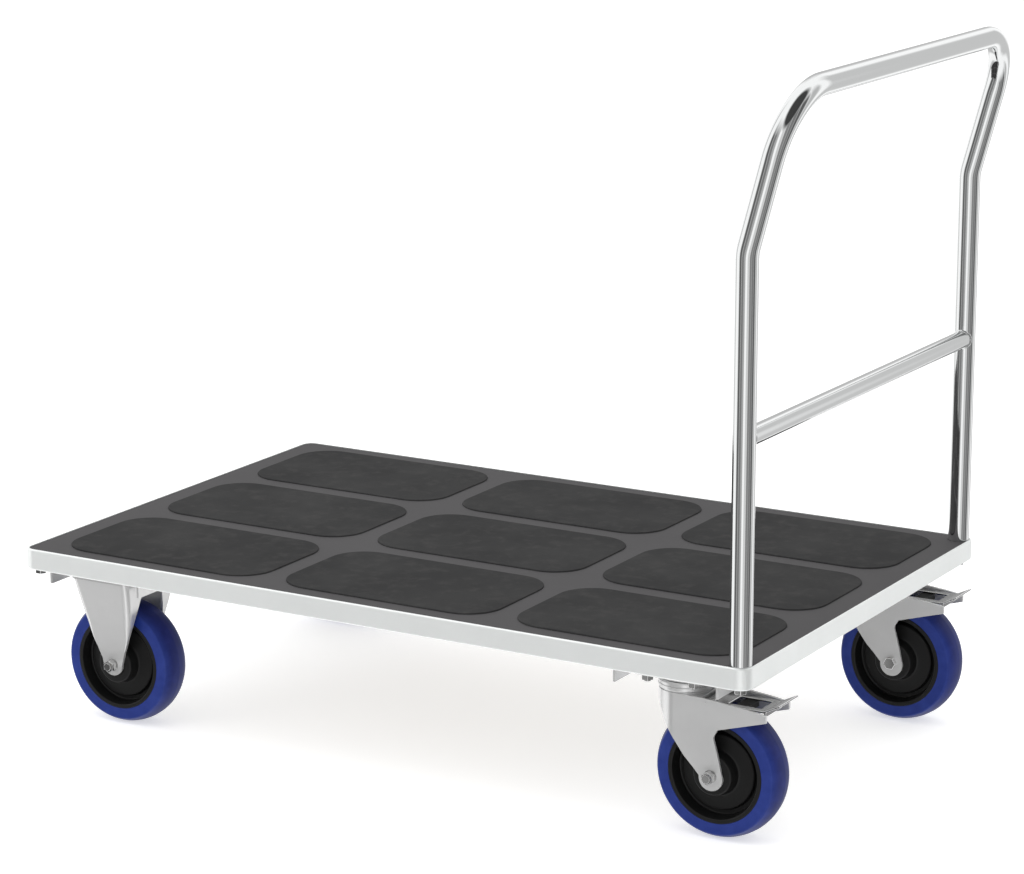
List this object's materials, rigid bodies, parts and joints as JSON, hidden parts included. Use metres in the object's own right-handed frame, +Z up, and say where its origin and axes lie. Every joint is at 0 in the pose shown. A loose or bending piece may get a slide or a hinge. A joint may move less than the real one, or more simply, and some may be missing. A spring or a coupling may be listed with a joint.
{
  "type": "platform cart",
  "caption": "Flat platform cart with a rubber-topped deck in a steel frame, a fixed tubular push handle at one end, fixed castors in front and braked swivel castors behind.",
  "frame": {"origin": "on the floor, under the middle of the whole cart's box, handle included", "axes": "+Z up, +X along the deck towards the push handle, +Y across the cart"},
  "size_m": [1.0602, 0.65, 0.8883],
  "materials": {
    "blue_tyre": "satin",
    "black_polyamide": "satin",
    "rubber_mat": "matte",
    "birch_ply": "matte",
    "chrome": "polished",
    "brake_rubber": "matte",
    "steel": "satin",
    "frame_zinc": "satin",
    "zinc": "satin"
  },
  "bodies": {
    "chassis": {"axle_bolt_front_left": "zinc", "axle_bolt_front_right": "zinc", "axle_nut_front_left": "zinc", "axle_nut_front_right": "zinc", "axle_sleeve_front_left": "zinc", "axle_sleeve_front_right": "zinc", "castor_bolts": "zinc", "castor_nuts": "zinc", "castor_washers": "zinc", "channel_front": "zinc", "channel_rear": "zinc", "corner_bolts": "zinc", "corner_washers": "zinc", "crossbar": "chrome", "deck_board": "birch_ply", "deck_mat": "rubber_mat", "fixed_fork_left": "zinc", "fixed_fork_right": "zinc", "front_plugs": "zinc", "handle_plugs": "zinc", "kingpin_left": "steel", "kingpin_right": "steel", "push_handle": "chrome", "rail_front": "frame_zinc", "rail_left": "frame_zinc", "rail_rear": "frame_zinc", "rail_right": "frame_zinc", "swivel_plate_left": "zinc", "swivel_plate_right": "zinc"},
    "swivel_left": {"swivel_fork_left": "zinc", "lower_race_left": "steel", "race_balls_left": "steel", "brake_pin_left": "zinc", "axle_sleeve_rear_left": "zinc", "axle_bolt_rear_left": "zinc", "axle_nut_rear_left": "zinc"},
    "brake_left": {"brake_lever_left": "zinc", "brake_shoe_left": "brake_rubber"},
    "wheel_front_left": {"tyre_front_left": "blue_tyre", "rim_front_left": "black_polyamide", "wheel_bearings_front_left": "steel"},
    "wheel_rear_left": {"tyre_rear_left": "blue_tyre", "rim_rear_left": "black_polyamide", "wheel_bearings_rear_left": "steel"},
    "swivel_right": {"swivel_fork_right": "zinc", "lower_race_right": "steel", "race_balls_right": "steel", "brake_pin_right": "zinc", "axle_sleeve_rear_right": "zinc", "axle_bolt_rear_right": "zinc", "axle_nut_rear_right": "zinc"},
    "brake_right": {"brake_lever_right": "zinc", "brake_shoe_right": "brake_rubber"},
    "wheel_front_right": {"tyre_front_right": "blue_tyre", "rim_front_right": "black_polyamide", "wheel_bearings_front_right": "steel"},
    "wheel_rear_right": {"tyre_rear_right": "blue_tyre", "rim_rear_right": "black_polyamide", "wheel_bearings_rear_right": "steel"}
  },
  "joints": [
    {"name": "swivel_turn_left", "type": "hinge", "parent": "chassis", "child": "swivel_left", "pos_m": [0.37142, 0.251, 0.178], "axis": [0, 0, 1], "continuous": true},
    {"name": "wheel_spin_rear_left", "type": "hinge", "parent": "swivel_left", "child": "wheel_rear_left", "pos_m": [0.41942, 0.251, 0.08], "axis": [0, 1, 0], "continuous": true},
    {"name": "wheel_spin_front_left", "type": "hinge", "parent": "chassis", "child": "wheel_front_left", "pos_m": [-0.42458, 0.251, 0.08], "axis": [0, 1, 0], "continuous": true},
    {"name": "brake_press_left", "type": "hinge", "parent": "swivel_left", "child": "brake_left", "pos_m": [0.41142, 0.251, 0.1652], "axis": [0, 1, 0], "range_deg": [0, 5]},
    {"name": "swivel_turn_right", "type": "hinge", "parent": "chassis", "child": "swivel_right", "pos_m": [0.37142, -0.251, 0.178], "axis": [0, 0, 1], "continuous": true},
    {"name": "wheel_spin_rear_right", "type": "hinge", "parent": "swivel_right", "child": "wheel_rear_right", "pos_m": [0.41942, -0.251, 0.08], "axis": [0, 1, 0], "continuous": true},
    {"name": "wheel_spin_front_right", "type": "hinge", "parent": "chassis", "child": "wheel_front_right", "pos_m": [-0.42458, -0.251, 0.08], "axis": [0, 1, 0], "continuous": true},
    {"name": "brake_press_right", "type": "hinge", "parent": "swivel_right", "child": "brake_right", "pos_m": [0.41142, -0.251, 0.1652], "axis": [0, 1, 0], "range_deg": [0, 5]}
  ]
}
